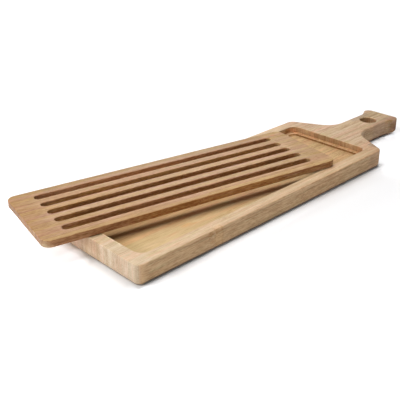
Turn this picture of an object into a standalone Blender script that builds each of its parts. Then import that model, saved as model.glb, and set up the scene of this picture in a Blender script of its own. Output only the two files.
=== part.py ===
"""Bamboo bread board with a crumb recess, an integral handle and a loose slotted grid.

The board is one milled bamboo panel. A recess in two steps is cut into its top:
the upper step is as deep as the grid is thick, and leaves a narrow ledge that the
grid sits on when it is put away; the lower step is the crumb pocket. The grid is a
second panel with five long slots. It lies askew on top of the board's rims, its
left end out over the board's end.

Metres, +Z up. The origin is on the underside, on the centre line, at the middle of
the recessed body. +X runs towards the handle.
"""

import math

import bmesh
import bpy
from mathutils import Vector

MM = 0.001

# ---- board -----------------------------------------------------------------
BOARD_T = 20.0 * MM            # thickness of the bamboo panel
BODY_W = 131.0 * MM            # width of the recessed body
BODY_X0 = -175.0 * MM          # plain end of the body
SHOULDER_X = 175.5 * MM        # where the body's side would meet the shoulder line
HANDLE_X1 = 279.5 * MM         # end face of the handle
END_CORNER_R = 6.5 * MM        # vertical corners of the plain end
SHOULDER_R = 9.5 * MM          # convex corner between side and shoulder
SHOULDER_DEG = 63.5            # how far the shoulder line turns from the side
NECK_FILLET_R = 26.0 * MM      # concave fillet between shoulder and neck
NECK_HALF_W = 17.3 * MM        # half width of the neck
FLARE_X = 254.5 * MM           # where the neck starts to widen
FLARE_R = 23.0 * MM            # concave radius of the widening
FLARE_DEG = 30.0
HANDLE_CORNER_R = 7.0 * MM     # corners of the handle's end
LIFT_X = 260.5 * MM            # from here to its end the handle's underside is bevelled,
LIFT_RISE = 4.5 * MM           # for fingers to get under it, and is this high at the end
OUTER_ROUND = 1.2 * MM         # rounding of the outer top edges
UNDER_ROUND = 3.5 * MM         # rounding of the outer bottom edges

HANG_HOLE_X = 246.5 * MM
HANG_HOLE_R = 10.0 * MM
HOLE_ROUND = 1.0 * MM

# ---- recess ----------------------------------------------------------------
RIM_W = 13.5 * MM              # rim at the two sides and at the plain end
RECESS_X0 = BODY_X0 + RIM_W
RECESS_X1 = 165.5 * MM
RECESS_HALF_W = BODY_W / 2 - RIM_W
RECESS_R = 9.5 * MM
SEAT_DEPTH = 7.0 * MM          # top of the rim down to the ledge
LEDGE_W = 4.5 * MM
POCKET_DEPTH = 2.5 * MM        # ledge down to the pocket's floor
POCKET_R = 6.5 * MM
RIM_ROUND = 0.8 * MM           # rounding of the recess's top edge
LEDGE_ROUND = 0.4 * MM

# ---- grid ------------------------------------------------------------------
GRID_L = 325.0 * MM
GRID_W = 102.0 * MM
GRID_T = SEAT_DEPTH            # it lies flush with the rims when seated
GRID_CORNER_R = 9.0 * MM
GRID_ROUND = 0.8 * MM
SLOT_COUNT = 5
SLOT_W = 8.5 * MM
SLOT_PITCH = 17.4 * MM
SLOT_END = 23.0 * MM           # from a slot's tip to the grid's end
SLOT_ROUND = 0.6 * MM

# where the grid lies: flat on the rims, turned a little and drawn out to the left
REST_GAP = 0.3 * MM
GRID_X = -44.9 * MM
GRID_Y = 26.8 * MM
GRID_YAW_DEG = -11.86

ARC_STEP_DEG = 14.0            # longest arc that one straight facet spans


def new_collection(name):
    collection = bpy.data.collections.new(name)
    bpy.context.scene.collection.children.link(collection)
    return collection


def arc(cx, cy, radius, start, end):
    """Points on an arc from start to end, in degrees, both ends included."""
    steps = max(2, math.ceil(abs(end - start) / ARC_STEP_DEG))
    points = []
    for i in range(steps + 1):
        a = math.radians(start + (end - start) * i / steps)
        points.append((cx + radius * math.cos(a), cy + radius * math.sin(a)))
    return points


def rounded_rectangle(x0, y0, x1, y1, radius):
    """Counter-clockwise loop."""
    return (
        arc(x1 - radius, y0 + radius, radius, -90, 0)
        + arc(x1 - radius, y1 - radius, radius, 0, 90)
        + arc(x0 + radius, y1 - radius, radius, 90, 180)
        + arc(x0 + radius, y0 + radius, radius, 180, 270)
    )


def board_side():
    """The +Y half of the board's outline, from the plain end to the handle's end."""
    half = BODY_W / 2
    turn = math.radians(SHOULDER_DEG)
    flare = math.radians(FLARE_DEG)
    points = arc(BODY_X0 + END_CORNER_R, half - END_CORNER_R, END_CORNER_R, 180, 90)
    # convex corner from the side into the shoulder line
    back = SHOULDER_R * math.tan(turn / 2)
    points += arc(
        SHOULDER_X - back, half - SHOULDER_R, SHOULDER_R, 90, 90 - SHOULDER_DEG
    )
    # concave fillet from the shoulder line into the neck
    neck_x = SHOULDER_X + (half - NECK_HALF_W) / math.tan(turn)
    fillet_x = neck_x + NECK_FILLET_R * math.tan(turn / 2)
    points += arc(
        fillet_x, NECK_HALF_W + NECK_FILLET_R, NECK_FILLET_R, 270 - SHOULDER_DEG, 270
    )
    # the neck widens again towards the end
    points += arc(FLARE_X, NECK_HALF_W + FLARE_R, FLARE_R, 270, 270 + FLARE_DEG)
    flare_x = FLARE_X + FLARE_R * math.sin(flare)
    flare_y = NECK_HALF_W + FLARE_R * (1 - math.cos(flare))
    tip_y = flare_y + (HANDLE_X1 - flare_x) * math.tan(flare)
    down = HANDLE_CORNER_R * math.tan((math.pi / 2 + flare) / 2)
    points += arc(
        HANDLE_X1 - HANDLE_CORNER_R, tip_y - down, HANDLE_CORNER_R, 90 + FLARE_DEG, 0
    )
    return points


def board_outline():
    upper = board_side()
    lower = [(x, -y) for x, y in upper]
    return lower + upper[::-1]


def panel(name, loops, z0, z1, collection):
    """A flat panel between z0 and z1 with these outlines, as a welded mesh object."""
    curve = bpy.data.curves.new(name + "_outline", "CURVE")
    curve.dimensions = "2D"
    curve.fill_mode = "BOTH"
    curve.extrude = (z1 - z0) / 2
    for loop in loops:
        spline = curve.splines.new("POLY")
        spline.points.add(len(loop) - 1)
        for point, (x, y) in zip(spline.points, loop):
            point.co = (x, y, 0.0, 1.0)
        spline.use_cyclic_u = True
    drawn = bpy.data.objects.new(name + "_outline", curve)
    collection.objects.link(drawn)
    drawn.location.z = (z0 + z1) / 2
    bpy.context.view_layer.update()
    graph = bpy.context.evaluated_depsgraph_get()
    mesh = bpy.data.meshes.new_from_object(drawn.evaluated_get(graph))
    mesh.name = name
    weld = bmesh.new()
    weld.from_mesh(mesh)
    bmesh.ops.remove_doubles(weld, verts=weld.verts, dist=1e-6)
    bmesh.ops.recalc_face_normals(weld, faces=weld.faces)
    bmesh.ops.dissolve_limit(
        weld, angle_limit=math.radians(1), verts=weld.verts, edges=weld.edges
    )
    weld.to_mesh(mesh)
    weld.free()
    solid = bpy.data.objects.new(name, mesh)
    solid.matrix_world = drawn.matrix_world.copy()
    collection.objects.link(solid)
    bpy.data.objects.remove(drawn, do_unlink=True)
    return solid


def cut(obj, cutter):
    """Takes the cutter out of obj, and hides it."""
    cutter.hide_render = True
    cutter.display_type = "WIRE"
    boolean = obj.modifiers.new(cutter.name, "BOOLEAN")
    boolean.operation = "DIFFERENCE"
    boolean.solver = "EXACT"
    boolean.object = cutter


def realised(obj):
    """Replaces the object's mesh by what its modifiers make of it."""
    bpy.context.view_layer.update()
    graph = bpy.context.evaluated_depsgraph_get()
    mesh = bpy.data.meshes.new_from_object(obj.evaluated_get(graph))
    mesh.name = obj.name
    obj.modifiers.clear()
    obj.data = mesh
    weld = bmesh.new()
    weld.from_mesh(mesh)
    bmesh.ops.remove_doubles(weld, verts=weld.verts, dist=1e-6)
    bmesh.ops.dissolve_limit(
        weld, angle_limit=math.radians(1), verts=weld.verts, edges=weld.edges
    )
    weld.to_mesh(mesh)
    weld.free()


def round_edges(obj, chosen, radius, segments=2):
    """Rounds the edges whose two ends chosen(a, b) accepts, in the object's own frame."""
    mesh = bmesh.new()
    mesh.from_mesh(obj.data)
    picked = []
    for edge in mesh.edges:
        a, b = (v.co for v in edge.verts)
        if len(edge.link_faces) == 2 and edge.calc_face_angle() > math.radians(45):
            if chosen(a, b):
                picked.append(edge)
    bmesh.ops.bevel(
        mesh,
        geom=picked,
        offset=radius,
        offset_type="OFFSET",
        segments=segments,
        profile=0.5,
        affect="EDGES",
        clamp_overlap=False,
    )
    mesh.to_mesh(obj.data)
    mesh.free()


def shade(obj):
    obj.data.shade_smooth()
    obj.data.set_sharp_from_angle(angle=math.radians(35))


def bevel_underside(obj, x0, x1, rise, thickness):
    """Slopes the underside from x0, where it stays level, to x1, where it is rise
    higher. The object's own frame is at half its thickness."""
    mesh = bmesh.new()
    mesh.from_mesh(obj.data)
    made = bmesh.ops.bisect_plane(
        mesh,
        geom=mesh.verts[:] + mesh.edges[:] + mesh.faces[:],
        dist=1e-7,
        plane_co=(x0, 0.0, 0.0),
        plane_no=(1.0, 0.0, 0.0),
    )
    for item in made["geom_cut"]:
        if isinstance(item, bmesh.types.BMEdge) and all(v.co.z < 0 for v in item.verts):
            item.smooth = False
    for vert in mesh.verts:
        if vert.co.x > x0:
            share = 0.5 - vert.co.z / thickness
            vert.co.z += rise * (vert.co.x - x0) / (x1 - x0) * share
    mesh.to_mesh(obj.data)
    mesh.free()


def bamboo(name, colour, roughness):
    material = bpy.data.materials.new(name)
    material.use_nodes = True
    shader = material.node_tree.nodes["Principled BSDF"]
    shader.inputs["Base Color"].default_value = (*colour, 1.0)
    shader.inputs["Roughness"].default_value = roughness
    shader.inputs["Metallic"].default_value = 0.0
    return material


def at_height(z, tolerance=1e-5):
    return lambda a, b: abs(a.z - z) < tolerance and abs(b.z - z) < tolerance


def make_board(parts, cutters):
    board = panel("tray_board", [board_outline()], 0.0, BOARD_T, parts)

    def in_recess(v, grow=1e-4):
        return (
            RECESS_X0 - grow < v.x + board.location.x < RECESS_X1 + grow
            and abs(v.y) < RECESS_HALF_W + grow
        )

    def in_hole(v):
        return (Vector((v.x, v.y)) - Vector((HANG_HOLE_X, 0))).length < HANG_HOLE_R * 1.1

    top = BOARD_T + 5 * MM
    seat = panel(
        "seat_cutter",
        [rounded_rectangle(RECESS_X0, -RECESS_HALF_W, RECESS_X1, RECESS_HALF_W, RECESS_R)],
        BOARD_T - SEAT_DEPTH,
        top,
        cutters,
    )
    pocket = panel(
        "pocket_cutter",
        [
            rounded_rectangle(
                RECESS_X0 + LEDGE_W,
                -RECESS_HALF_W + LEDGE_W,
                RECESS_X1 - LEDGE_W,
                RECESS_HALF_W - LEDGE_W,
                POCKET_R,
            )
        ],
        BOARD_T - SEAT_DEPTH - POCKET_DEPTH,
        top,
        cutters,
    )
    hole = panel(
        "hang_hole_cutter",
        [arc(HANG_HOLE_X, 0.0, HANG_HOLE_R, 0, 360)[:-1]],
        -5 * MM,
        top,
        cutters,
    )
    for cutter in (seat, pocket, hole):
        cut(board, cutter)
    realised(board)

    # the panel's own frame is at half its thickness
    half = BOARD_T / 2
    ledge = half - SEAT_DEPTH
    top_edge, bottom_edge = at_height(half), at_height(-half)
    ledge_edge = at_height(ledge)

    def on_ledge_lip(v):
        """On the inner edge of the ledge, where it drops to the pocket."""
        return (
            RECESS_X0 + LEDGE_W - 1e-4 < v.x < RECESS_X1 - LEDGE_W + 1e-4
            and abs(v.y) < RECESS_HALF_W - LEDGE_W + 1e-4
        )

    round_edges(
        board,
        lambda a, b: top_edge(a, b) and not in_recess(a) and not in_hole(a),
        OUTER_ROUND,
        3,
    )
    round_edges(
        board, lambda a, b: bottom_edge(a, b) and not in_hole(a), UNDER_ROUND, 4
    )
    round_edges(
        board,
        lambda a, b: (top_edge(a, b) or bottom_edge(a, b)) and in_hole(a),
        HOLE_ROUND,
    )
    round_edges(board, lambda a, b: top_edge(a, b) and in_recess(a), RIM_ROUND)
    round_edges(
        board, lambda a, b: ledge_edge(a, b) and on_ledge_lip(a) and on_ledge_lip(b), LEDGE_ROUND, 1
    )
    shade(board)
    bevel_underside(board, LIFT_X, HANDLE_X1, LIFT_RISE, BOARD_T)
    board.data.materials.append(bamboo("board_bamboo", (0.62, 0.44, 0.27), 0.5))
    return board


def make_grid(parts):
    half_l, half_w = GRID_L / 2, GRID_W / 2
    loops = [rounded_rectangle(-half_l, -half_w, half_l, half_w, GRID_CORNER_R)]
    tip = half_l - SLOT_END
    for i in range(SLOT_COUNT):
        y = (i - (SLOT_COUNT - 1) / 2) * SLOT_PITCH
        r = SLOT_W / 2
        loops.append(
            arc(tip - r, y, r, -90, 90) + arc(-tip + r, y, r, 90, 270)
        )
    grid = panel("crumb_grid", loops, -GRID_T / 2, GRID_T / 2, parts)

    def faces(a, b):
        return abs(abs(a.z) - GRID_T / 2) < 1e-5 and abs(a.z - b.z) < 1e-5

    def outer(v):
        return abs(v.x) > tip + 1e-3 or abs(v.y) > half_w - GRID_CORNER_R

    round_edges(grid, lambda a, b: faces(a, b) and outer(a) and outer(b), GRID_ROUND)
    round_edges(grid, lambda a, b: faces(a, b) and not outer(a) and not outer(b), SLOT_ROUND)
    shade(grid)
    grid.data.materials.append(bamboo("grid_bamboo", (0.60, 0.40, 0.25), 0.5))
    return grid


def main():
    for obj in list(bpy.data.objects):
        bpy.data.objects.remove(obj, do_unlink=True)
    parts = new_collection("bread_board")
    cutters = new_collection("bread_board_cutters")

    make_board(parts, cutters)

    # the grid is free to be lifted straight up from where it lies
    lift = bpy.data.objects.new("grid_lift_axis", None)
    lift.empty_display_type = "SINGLE_ARROW"
    lift.empty_display_size = 0.08
    lift.location = (GRID_X, GRID_Y, BOARD_T + REST_GAP)
    lift.rotation_euler = (0.0, 0.0, math.radians(GRID_YAW_DEG))
    parts.objects.link(lift)
    grid = make_grid(parts)
    grid.parent = lift
    grid.location = (0.0, 0.0, GRID_T / 2)


main()
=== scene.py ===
"""Looks of the bamboo bread board and its loose slotted grid.

Two pieces: the board with its handle, stepped recess and hang hole, and the grid
that lies askew on the board's rims. Both are drawn again with fine arcs and truly
rounded edges, and get a bamboo that is worked out in depth, so that the same strips,
fibres and nodes show on tops, sides, ends and inside the slots.
"""

import math

import bmesh
import bpy
from mathutils import Matrix, Vector


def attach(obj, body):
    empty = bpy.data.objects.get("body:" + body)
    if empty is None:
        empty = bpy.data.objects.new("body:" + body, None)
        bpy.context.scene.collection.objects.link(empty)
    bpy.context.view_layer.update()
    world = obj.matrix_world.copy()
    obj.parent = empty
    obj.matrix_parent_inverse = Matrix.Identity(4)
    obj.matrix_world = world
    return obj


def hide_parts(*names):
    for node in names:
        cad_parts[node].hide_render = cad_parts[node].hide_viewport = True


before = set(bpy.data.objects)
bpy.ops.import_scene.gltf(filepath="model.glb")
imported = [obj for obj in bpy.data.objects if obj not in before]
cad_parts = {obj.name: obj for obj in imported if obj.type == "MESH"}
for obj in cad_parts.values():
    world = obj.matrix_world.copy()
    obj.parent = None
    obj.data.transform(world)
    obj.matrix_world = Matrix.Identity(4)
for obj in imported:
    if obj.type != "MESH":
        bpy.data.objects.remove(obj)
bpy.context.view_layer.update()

MM = 0.001

# ---- board, the sizes of the CAD model --------------------------------------
BOARD_T = 20.0 * MM
BODY_W = 131.0 * MM
BODY_X0 = -175.0 * MM
SHOULDER_X = 175.5 * MM
HANDLE_X1 = 279.5 * MM
END_CORNER_R = 6.5 * MM
SHOULDER_R = 9.5 * MM
SHOULDER_DEG = 63.5
NECK_FILLET_R = 26.0 * MM
NECK_HALF_W = 17.3 * MM
FLARE_X = 254.5 * MM
FLARE_R = 23.0 * MM
FLARE_DEG = 30.0
HANDLE_CORNER_R = 7.0 * MM
LIFT_X = 260.5 * MM
LIFT_RISE = 4.5 * MM
OUTER_ROUND = 1.2 * MM
UNDER_ROUND = 3.5 * MM
HANG_HOLE_X = 246.5 * MM
HANG_HOLE_R = 10.0 * MM
HOLE_ROUND = 1.0 * MM
RIM_W = 13.5 * MM
RECESS_X0 = BODY_X0 + RIM_W
RECESS_X1 = 165.5 * MM
RECESS_HALF_W = BODY_W / 2 - RIM_W
RECESS_R = 9.5 * MM
SEAT_DEPTH = 7.0 * MM
LEDGE_W = 4.5 * MM
POCKET_DEPTH = 2.5 * MM
POCKET_R = 6.5 * MM
RIM_ROUND = 0.8 * MM
LEDGE_ROUND = 0.4 * MM
FOOT_FILLET = 0.5 * MM         # small fillet that the router leaves at a wall's foot

# ---- grid --------------------------------------------------------------------
GRID_L = 325.0 * MM
GRID_W = 102.0 * MM
GRID_T = SEAT_DEPTH
GRID_CORNER_R = 9.0 * MM
GRID_ROUND = 0.8 * MM
SLOT_COUNT = 5
SLOT_W = 8.5 * MM
SLOT_PITCH = 17.4 * MM
SLOT_END = 23.0 * MM
SLOT_ROUND = 0.6 * MM
GRID_Z = BOARD_T + 0.3 * MM
GRID_X = -44.9 * MM
GRID_Y = 26.8 * MM
GRID_YAW_DEG = -11.86

ARC_STEP_DEG = 4.0             # longest arc between two points of an outline
INSET = 0.004 * MM             # keeps the finer arcs inside the box of coarser ones
RUN_STEP = 12.0 * MM           # longest straight run between two points


# =============================================================================
# outlines: closed, counter-clockwise, as (x, y, nx, ny) with the normal outward
# =============================================================================
def arc(cx, cy, radius, start, end, outward=1.0):
    steps = max(2, math.ceil(abs(end - start) / ARC_STEP_DEG))
    points = []
    for i in range(steps + 1):
        a = math.radians(start + (end - start) * i / steps)
        c, s = math.cos(a), math.sin(a)
        points.append((cx + radius * c, cy + radius * s, outward * c, outward * s))
    return points


def runs_filled(points, longest=RUN_STEP):
    """Adds points along the straight runs of a closed outline."""
    filled = []
    for i, a in enumerate(points):
        b = points[(i + 1) % len(points)]
        filled.append(a)
        length = math.hypot(b[0] - a[0], b[1] - a[1])
        parts = math.ceil(length / longest - 1e-9)
        for k in range(1, parts):
            f = k / parts
            nx, ny = a[2] * (1 - f) + b[2] * f, a[3] * (1 - f) + b[3] * f
            n = math.hypot(nx, ny)
            filled.append(
                (a[0] + (b[0] - a[0]) * f, a[1] + (b[1] - a[1]) * f, nx / n, ny / n)
            )
    return filled


def rounded_rectangle(x0, y0, x1, y1, radius):
    return (
        arc(x1 - radius, y0 + radius, radius, -90, 0)
        + arc(x1 - radius, y1 - radius, radius, 0, 90)
        + arc(x0 + radius, y1 - radius, radius, 90, 180)
        + arc(x0 + radius, y0 + radius, radius, 180, 270)
    )


def board_side():
    """The +Y half of the board's outline, from the plain end to the handle's end."""
    half = BODY_W / 2
    turn = math.radians(SHOULDER_DEG)
    flare = math.radians(FLARE_DEG)
    points = arc(BODY_X0 + END_CORNER_R, half - END_CORNER_R, END_CORNER_R, 180, 90)
    back = SHOULDER_R * math.tan(turn / 2)
    points += arc(
        SHOULDER_X - back, half - SHOULDER_R, SHOULDER_R, 90, 90 - SHOULDER_DEG
    )
    neck_x = SHOULDER_X + (half - NECK_HALF_W) / math.tan(turn)
    fillet_x = neck_x + NECK_FILLET_R * math.tan(turn / 2)
    points += arc(
        fillet_x,
        NECK_HALF_W + NECK_FILLET_R,
        NECK_FILLET_R,
        270 - SHOULDER_DEG,
        270,
        outward=-1.0,
    )
    # one of the points is where the bevel of the underside starts
    lift = 270 + math.degrees(math.asin((LIFT_X - FLARE_X) / FLARE_R))
    for start, end in ((270, lift), (lift, 270 + FLARE_DEG)):
        points += arc(
            FLARE_X, NECK_HALF_W + FLARE_R, FLARE_R, start, end, outward=-1.0
        )[: None if end > lift else -1]
    flare_x = FLARE_X + FLARE_R * math.sin(flare)
    flare_y = NECK_HALF_W + FLARE_R * (1 - math.cos(flare))
    tip_y = flare_y + (HANDLE_X1 - flare_x) * math.tan(flare)
    down = HANDLE_CORNER_R * math.tan((math.pi / 2 + flare) / 2)
    points += arc(
        HANDLE_X1 - HANDLE_CORNER_R, tip_y - down, HANDLE_CORNER_R, 90 + FLARE_DEG, 0
    )
    return points


def board_outline():
    upper = board_side()
    lower = [(x, -y, nx, -ny) for x, y, nx, ny in upper]
    return lower + upper[::-1]


# =============================================================================
# solids as stacks of rings, each ring an outline moved along its normals
# =============================================================================
class Solid:
    """Collects rings, the strips between them and the flats, with exact normals."""

    def __init__(self):
        self.mesh = bmesh.new()
        self.normals = []
        self.flats = set()

    def ring(self, outline, offset, z, out, up):
        """Points of the outline moved by offset along its normals, at height z. The
        surface's normal there is out along the outline's normal and up along Z."""
        made = []
        for x, y, nx, ny in outline:
            made.append(self.mesh.verts.new((x + nx * offset, y + ny * offset, z)))
            self.normals.append(Vector((nx * out, ny * out, up)).normalized())
        return made

    def stack(self, rings):
        """Strips of quads from ring to ring: up an outer side, down an inner one."""
        for one, two in zip(rings, rings[1:]):
            for i in range(len(one)):
                j = (i + 1) % len(one)
                self.mesh.faces.new((one[i], one[j], two[j], two[i]))

    def flat(self, loops, up):
        """Fills between closed rings that lie in one plane."""
        edges = []
        for loop in loops:
            for i, a in enumerate(loop):
                b = loop[(i + 1) % len(loop)]
                edge = self.mesh.edges.get((a, b))
                edges.append(edge or self.mesh.edges.new((a, b)))
        made = bmesh.ops.triangle_fill(
            self.mesh, use_beauty=True, use_dissolve=False, edges=edges
        )
        for face in made["geom"]:
            if isinstance(face, bmesh.types.BMFace):
                face.normal_update()
                if face.normal.z * up < 0:
                    face.normal_flip()
                self.flats.add(face)

    def bevel_underside(self, x0, x1, rise, thickness):
        """Slopes the underside from x0, where it stays level, to x1."""
        slope = rise / (x1 - x0)
        self.mesh.verts.ensure_lookup_table()
        for vert, normal in zip(self.mesh.verts, self.normals):
            if vert.co.x > x0 + 1e-7:
                raised = slope * (vert.co.x - x0)
                share = 1.0 - vert.co.z / thickness
                vert.co.z += raised * share
                normal.z /= 1.0 - raised / thickness
                normal.x -= slope * share * normal.z
                normal.normalize()

    def finish(self, name, placed=None):
        for face in self.mesh.faces:
            face.smooth = True
        if placed:
            self.mesh.transform(placed)
            self.normals = [placed.to_3x3() @ normal for normal in self.normals]
        self.mesh.verts.index_update()
        self.mesh.normal_update()
        corners = [
            face.normal.copy() if face in self.flats else self.normals[vert.index]
            for face in self.mesh.faces
            for vert in face.verts
        ]
        data = bpy.data.meshes.new(name)
        self.mesh.to_mesh(data)
        self.mesh.free()
        data.normals_split_custom_set(corners)
        made = bpy.data.objects.new(name, data)
        bpy.context.scene.collection.objects.link(made)
        return made


def outer_profile(z0, z1, foot, head, steps=6):
    """(offset, z, out, up) up the outer side of a panel, its lower edge rounded by
    foot and its upper one by head."""

    def quarter(radius):
        points = []
        for i in range(steps + 1):
            a = math.radians(90 * i / steps)
            s, c = math.sin(a), math.cos(a)
            points.append((radius * (s - 1), radius * (1 - c), s, -c))
        return points

    low = [(o, z0 + h, n, u) for o, h, n, u in quarter(foot)]
    high = [(o, z1 - h, n, -u) for o, h, n, u in reversed(quarter(head))]
    return low + high


def wall_down(z_top, z_foot, radius, fillet, steps=5):
    """(offset, z, out, up) down a recess wall, from its rounded lip to its foot."""
    points = []
    for i in range(steps + 1):
        a = math.radians(90 * i / steps)
        points.append(
            (radius * (1 - math.sin(a)), z_top - radius * (1 - math.cos(a)), -math.sin(a), math.cos(a))
        )
    for i in range(steps + 1):
        b = math.radians(90 * i / steps)
        points.append(
            (-fillet * (1 - math.cos(b)), z_foot + fillet * (1 - math.sin(b)), -math.cos(b), math.sin(b))
        )
    return points


def hole_profile(z0, z1, radius, steps=5):
    """(offset, z, out, up) down a through hole, both its edges rounded."""
    top = []
    for i in range(steps + 1):
        a = math.radians(90 * i / steps)
        top.append(
            (radius * (1 - math.sin(a)), z1 - radius * (1 - math.cos(a)), -math.sin(a), math.cos(a))
        )
    foot = [(o, z0 + (z1 - z), n, -u) for o, z, n, u in reversed(top)]
    return top + foot


def make_board():
    solid = Solid()
    outline = runs_filled(board_outline())
    side = [solid.ring(outline, *p) for p in outer_profile(0.0, BOARD_T, UNDER_ROUND, OUTER_ROUND)]
    solid.stack(side)

    # two outlines whose points pair up, so that the ledge is one row of quads
    seat = rounded_rectangle(RECESS_X0, -RECESS_HALF_W, RECESS_X1, RECESS_HALF_W, RECESS_R)
    pocket = rounded_rectangle(
        RECESS_X0 + LEDGE_W,
        -RECESS_HALF_W + LEDGE_W,
        RECESS_X1 - LEDGE_W,
        RECESS_HALF_W - LEDGE_W,
        POCKET_R,
    )
    paired_seat, paired_pocket = [], []
    for i, (a, p) in enumerate(zip(seat, pocket)):
        j = (i + 1) % len(seat)
        b, q = seat[j], pocket[j]
        paired_seat.append(a)
        paired_pocket.append(p)
        parts = math.ceil(math.hypot(b[0] - a[0], b[1] - a[1]) / RUN_STEP - 1e-9)
        for k in range(1, parts):
            f = k / parts
            for one, two, into in ((a, b, paired_seat), (p, q, paired_pocket)):
                into.append(
                    (
                        one[0] + (two[0] - one[0]) * f,
                        one[1] + (two[1] - one[1]) * f,
                        one[2],
                        one[3],
                    )
                )
    ledge = BOARD_T - SEAT_DEPTH
    floor = ledge - POCKET_DEPTH
    upper = [
        solid.ring(paired_seat, *p)
        for p in wall_down(BOARD_T, ledge, RIM_ROUND, FOOT_FILLET)
    ]
    lower = [
        solid.ring(paired_pocket, *p)
        for p in wall_down(ledge, floor, LEDGE_ROUND, FOOT_FILLET)
    ]
    solid.stack(upper + lower)

    circle = arc(HANG_HOLE_X, 0.0, HANG_HOLE_R, 0, 360)[:-1]
    hole = [solid.ring(circle, *p) for p in hole_profile(0.0, BOARD_T, HOLE_ROUND)]
    solid.stack(hole)

    solid.flat([side[-1], upper[0], hole[0]], 1)
    solid.flat([lower[-1]], 1)
    level = [v for v in side[0] if v.co.x < LIFT_X + 1e-7]
    sloped = [v for v in side[0] if v.co.x > LIFT_X - 1e-7]
    solid.flat([level, hole[-1]], -1)
    solid.flat([sloped], -1)
    solid.bevel_underside(LIFT_X, HANDLE_X1, LIFT_RISE, BOARD_T)
    return solid.finish("board_panel")


def make_grid():
    solid = Solid()
    half_l, half_w = GRID_L / 2, GRID_W / 2
    outline = runs_filled(
        rounded_rectangle(-half_l, -half_w, half_l, half_w, GRID_CORNER_R)
    )
    side = [
        solid.ring(outline, offset - INSET, z, out, up)
        for offset, z, out, up in outer_profile(0.0, GRID_T, GRID_ROUND, GRID_ROUND, 5)
    ]
    solid.stack(side)
    tops, feet = [side[-1]], [side[0]]
    tip, r = half_l - SLOT_END, SLOT_W / 2
    for i in range(SLOT_COUNT):
        y = (i - (SLOT_COUNT - 1) / 2) * SLOT_PITCH
        slot = runs_filled(
            arc(tip - r, y, r, -90, 90) + arc(-tip + r, y, r, 90, 270)
        )
        rings = [solid.ring(slot, *p) for p in hole_profile(0.0, GRID_T, SLOT_ROUND, 4)]
        solid.stack(rings)
        tops.append(rings[0])
        feet.append(rings[-1])
    solid.flat(tops, 1)
    solid.flat(feet, -1)
    placed = Matrix.Translation((GRID_X, GRID_Y, GRID_Z)) @ Matrix.Rotation(
        math.radians(GRID_YAW_DEG), 4, "Z"
    )
    return solid.finish("slotted_grid", placed)


# =============================================================================
# bamboo
# =============================================================================
class Nodes:
    """Short names for the shader nodes used below."""

    def __init__(self, tree):
        self.tree = tree

    def add(self, kind, **settings):
        node = self.tree.nodes.new(kind)
        for name, value in settings.items():
            setattr(node, name, value)
        return node

    def put(self, socket, value):
        if isinstance(value, bpy.types.NodeSocket):
            self.tree.links.new(value, socket)
        elif value is not None:
            socket.default_value = value

    def math(self, operation, *values, clamp=False):
        node = self.add("ShaderNodeMath", operation=operation, use_clamp=clamp)
        for socket, value in zip(node.inputs, values):
            self.put(socket, value)
        return node.outputs[0]

    def vector(self, operation, *values):
        node = self.add("ShaderNodeVectorMath", operation=operation)
        for socket, value in zip(node.inputs, values):
            self.put(socket, value)
        return node.outputs[0]

    def combine(self, x, y, z):
        node = self.add("ShaderNodeCombineXYZ")
        for socket, value in zip(node.inputs, (x, y, z)):
            self.put(socket, value)
        return node.outputs[0]

    def noise(self, vector, scale=1.0, detail=2.0, rough=0.5, lacunarity=2.0):
        node = self.add("ShaderNodeTexNoise", noise_dimensions="3D")
        self.put(node.inputs["Vector"], vector)
        node.inputs["Scale"].default_value = scale
        node.inputs["Detail"].default_value = detail
        node.inputs["Roughness"].default_value = rough
        node.inputs["Lacunarity"].default_value = lacunarity
        return node.outputs["Fac"]

    def span(self, value, a, b, c=0.0, d=1.0, smooth=True):
        """value from a..b mapped to c..d, clamped."""
        node = self.add("ShaderNodeMapRange", clamp=True)
        if smooth:
            node.interpolation_type = "SMOOTHSTEP"
        for name, v in zip(
            ("Value", "From Min", "From Max", "To Min", "To Max"), (value, a, b, c, d)
        ):
            self.put(node.inputs[name], v)
        return node.outputs["Result"]

    def mix(self, factor, a, b, blend="MIX"):
        node = self.add("ShaderNodeMix", data_type="RGBA", blend_type=blend)
        node.clamp_factor = True
        self.put(node.inputs[0], factor)
        self.put(node.inputs[6], a)
        self.put(node.inputs[7], b)
        return node.outputs[2]

    def mix_value(self, factor, a, b):
        node = self.add("ShaderNodeMix", data_type="FLOAT")
        self.put(node.inputs[0], factor)
        self.put(node.inputs[2], a)
        self.put(node.inputs[3], b)
        return node.outputs[0]

    def spot(self, place, centre, radii):
        """1 at the centre of an ellipsoid, falling to 0 at its surface."""
        way = self.vector("DIVIDE", self.vector("SUBTRACT", place, centre), radii)
        length = self.add("ShaderNodeVectorMath", operation="LENGTH")
        self.put(length.inputs[0], way)
        return self.span(length.outputs["Value"], 0.25, 1.0, 1.0, 0.0)

    def block(self, place, low, high, edge):
        """1 inside a box, falling to 0 within edge outside it. edge is one length or one for each axis."""
        middle = [(a + b) / 2 for a, b in zip(low, high)]
        half = [(b - a) / 2 for a, b in zip(low, high)]
        way = self.vector("ABSOLUTE", self.vector("SUBTRACT", place, middle))
        way = self.vector("MAXIMUM", self.vector("SUBTRACT", way, half), (0.0, 0.0, 0.0))
        if isinstance(edge, tuple):
            way = self.vector("DIVIDE", way, edge)
            edge = 1.0
        length = self.add("ShaderNodeVectorMath", operation="LENGTH")
        self.put(length.inputs[0], way)
        return self.span(length.outputs["Value"], 0.0, edge, 1.0, 0.0)


def rgb(r, g, b):
    return (r, g, b, 1.0)


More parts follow.
